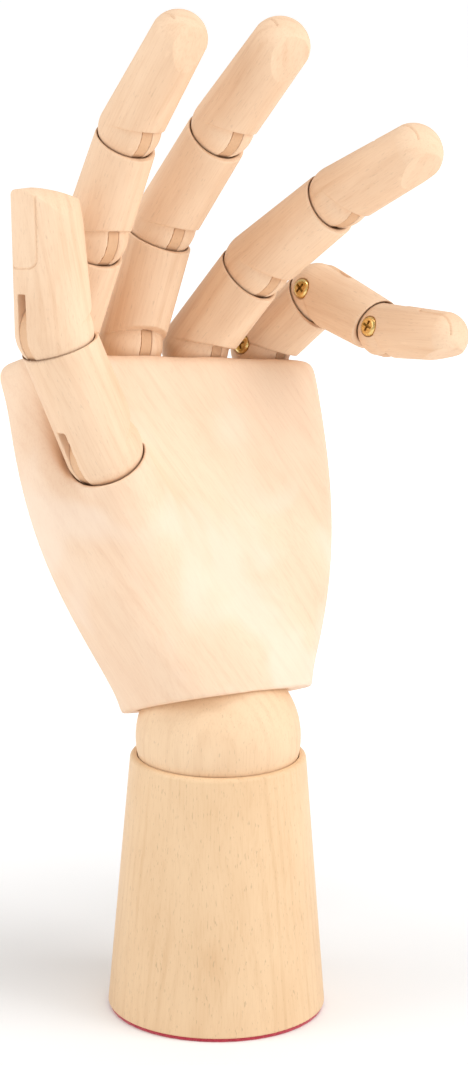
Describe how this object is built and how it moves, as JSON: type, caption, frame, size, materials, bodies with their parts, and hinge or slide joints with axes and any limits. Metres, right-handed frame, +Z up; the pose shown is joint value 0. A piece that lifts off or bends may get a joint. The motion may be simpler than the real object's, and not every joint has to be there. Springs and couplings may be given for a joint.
{
  "type": "articulated hand mannequin",
  "caption": "Jointed wooden artist's hand with hinged fingers and thumb on a carved palm, turning on a sprung wooden ball in a tapered round stand.",
  "frame": {"origin": "centre of the underside of the round stand, on its felt pad", "axes": "+Z up the stand, -Y the way the palm faces before the wrist is turned, +X towards the little finger"},
  "size_m": [0.1184, 0.0884, 0.2847],
  "materials": {
    "finger_wood": "smooth sanded pale hardwood",
    "palm_wood": "smooth sanded pale hardwood",
    "ball_wood": "smooth turned pale hardwood",
    "base_wood": "smooth turned pale hardwood, clear matt coat",
    "tongue_wood": "sawn hardwood",
    "brass_screw": "brass plated, cross recess",
    "spring_steel": "drawn wire",
    "red_felt": "pressed felt"
  },
  "bodies": {
    "stand": {"base_stand": "base_wood", "felt_pad": "red_felt", "base_spring_pin": "spring_steel"},
    "ball": {"wrist_ball": "ball_wood"},
    "spring": {"wrist_spring": "spring_steel"},
    "palm": {"palm": "palm_wood", "palm_spring_pin": "spring_steel", "thumb_knuckle_tongue": "tongue_wood", "index_knuckle_tongue": "tongue_wood", "middle_knuckle_tongue": "tongue_wood", "ring_knuckle_tongue": "tongue_wood", "little_knuckle_tongue": "tongue_wood"},
    "thumb_proximal": {"thumb_proximal": "finger_wood", "thumb_proximal_screw": "brass_screw", "thumb_distal_tongue": "tongue_wood"},
    "thumb_distal": {"thumb_distal": "finger_wood", "thumb_distal_screw": "brass_screw"},
    "index_proximal": {"index_proximal": "finger_wood", "index_proximal_screw": "brass_screw", "index_middle_tongue": "tongue_wood"},
    "index_middle": {"index_middle": "finger_wood", "index_middle_screw": "brass_screw", "index_distal_tongue": "tongue_wood"},
    "index_distal": {"index_distal": "finger_wood", "index_distal_screw": "brass_screw"},
    "middle_proximal": {"middle_proximal": "finger_wood", "middle_proximal_screw": "brass_screw", "middle_middle_tongue": "tongue_wood"},
    "middle_middle": {"middle_middle": "finger_wood", "middle_middle_screw": "brass_screw", "middle_distal_tongue": "tongue_wood"},
    "middle_distal": {"middle_distal": "finger_wood", "middle_distal_screw": "brass_screw"},
    "ring_proximal": {"ring_proximal": "finger_wood", "ring_proximal_screw": "brass_screw", "ring_middle_tongue": "tongue_wood"},
    "ring_middle": {"ring_middle": "finger_wood", "ring_middle_screw": "brass_screw", "ring_distal_tongue": "tongue_wood"},
    "ring_distal": {"ring_distal": "finger_wood", "ring_distal_screw": "brass_screw"},
    "little_proximal": {"little_proximal": "finger_wood", "little_proximal_screw": "brass_screw", "little_middle_tongue": "tongue_wood"},
    "little_middle": {"little_middle": "finger_wood", "little_middle_screw": "brass_screw", "little_distal_tongue": "tongue_wood"},
    "little_distal": {"little_distal": "finger_wood", "little_distal_screw": "brass_screw"}
  },
  "joints": [
    {"name": "wrist_swivel", "type": "hinge", "parent": "stand", "child": "ball", "pos_m": [0, 0, 0.0801], "axis": [0, 0, 1], "range_deg": [-180, 180]},
    {"name": "wrist_nod", "type": "hinge", "parent": "ball", "child": "spring", "pos_m": [0, 0, 0.0801], "axis": [1, 0, 0], "range_deg": [-5, 45]},
    {"name": "wrist_tilt", "type": "hinge", "parent": "spring", "child": "palm", "pos_m": [0, 0, 0.0801], "axis": [0, 0.9361, -0.3518], "range_deg": [-24, 16], "deforming": ["wrist_spring"]},
    {"name": "thumb_knuckle_hinge", "type": "hinge", "parent": "palm", "child": "thumb_proximal", "pos_m": [-0.03106, 0.01181, 0.1644], "axis": [0.039, -0.9951, 0.0914], "range_deg": [-6, 25]},
    {"name": "thumb_tip_hinge", "type": "hinge", "parent": "thumb_proximal", "child": "thumb_distal", "pos_m": [-0.04531, 0.01438, 0.19845], "axis": [0.039, -0.9951, 0.0914], "range_deg": [-14, 38]},
    {"name": "index_knuckle_hinge", "type": "hinge", "parent": "palm", "child": "index_proximal", "pos_m": [-0.02536, 0.04089, 0.1889], "axis": [0.9943, -0.0029, -0.1068], "range_deg": [-52, 6]},
    {"name": "index_middle_hinge", "type": "hinge", "parent": "index_proximal", "child": "index_middle", "pos_m": [-0.02199, 0.02898, 0.22056], "axis": [0.9943, -0.0029, -0.1068], "range_deg": [-1, 63]},
    {"name": "index_tip_hinge", "type": "hinge", "parent": "index_middle", "child": "index_distal", "pos_m": [-0.01874, 0.01688, 0.25109], "axis": [0.9943, -0.0029, -0.1068], "range_deg": [-30, 52]},
    {"name": "middle_knuckle_hinge", "type": "hinge", "parent": "palm", "child": "middle_proximal", "pos_m": [-0.00283, 0.0398, 0.186], "axis": [0.9732, -0.0809, -0.2153], "range_deg": [-42, 31]},
    {"name": "middle_middle_hinge", "type": "hinge", "parent": "middle_proximal", "child": "middle_middle", "pos_m": [0.00431, 0.03332, 0.22068], "axis": [0.9732, -0.0809, -0.2153], "range_deg": [-25, 39]},
    {"name": "middle_tip_hinge", "type": "hinge", "parent": "middle_middle", "child": "middle_distal", "pos_m": [0.00911, 0.01207, 0.25034], "axis": [0.9732, -0.0809, -0.2153], "range_deg": [-22, 59]},
    {"name": "ring_knuckle_hinge", "type": "hinge", "parent": "palm", "child": "ring_proximal", "pos_m": [0.01951, 0.03875, 0.1832], "axis": [0.9623, 0.0827, -0.259], "range_deg": [-65, 8]},
    {"name": "ring_middle_hinge", "type": "hinge", "parent": "ring_proximal", "child": "ring_middle", "pos_m": [0.02803, 0.02061, 0.20904], "axis": [0.9623, 0.0827, -0.259], "range_deg": [-15, 47]},
    {"name": "ring_tip_hinge", "type": "hinge", "parent": "ring_middle", "child": "ring_distal", "pos_m": [0.03621, -0.00595, 0.23097], "axis": [0.9623, 0.0827, -0.259], "range_deg": [-25, 56]},
    {"name": "little_knuckle_hinge", "type": "hinge", "parent": "palm", "child": "little_proximal", "pos_m": [0.04236, 0.03773, 0.18047], "axis": [0.9509, 0.1358, -0.2781], "range_deg": [-74, 3]},
    {"name": "little_middle_hinge", "type": "hinge", "parent": "little_proximal", "child": "little_middle", "pos_m": [0.05016, 0.02015, 0.19856], "axis": [0.9509, 0.1358, -0.2781], "range_deg": [-60, 4]},
    {"name": "little_tip_hinge", "type": "hinge", "parent": "little_middle", "child": "little_distal", "pos_m": [0.05208, -0.00716, 0.19178], "axis": [0.9509, 0.1358, -0.2781], "range_deg": [0, 79]}
  ]
}
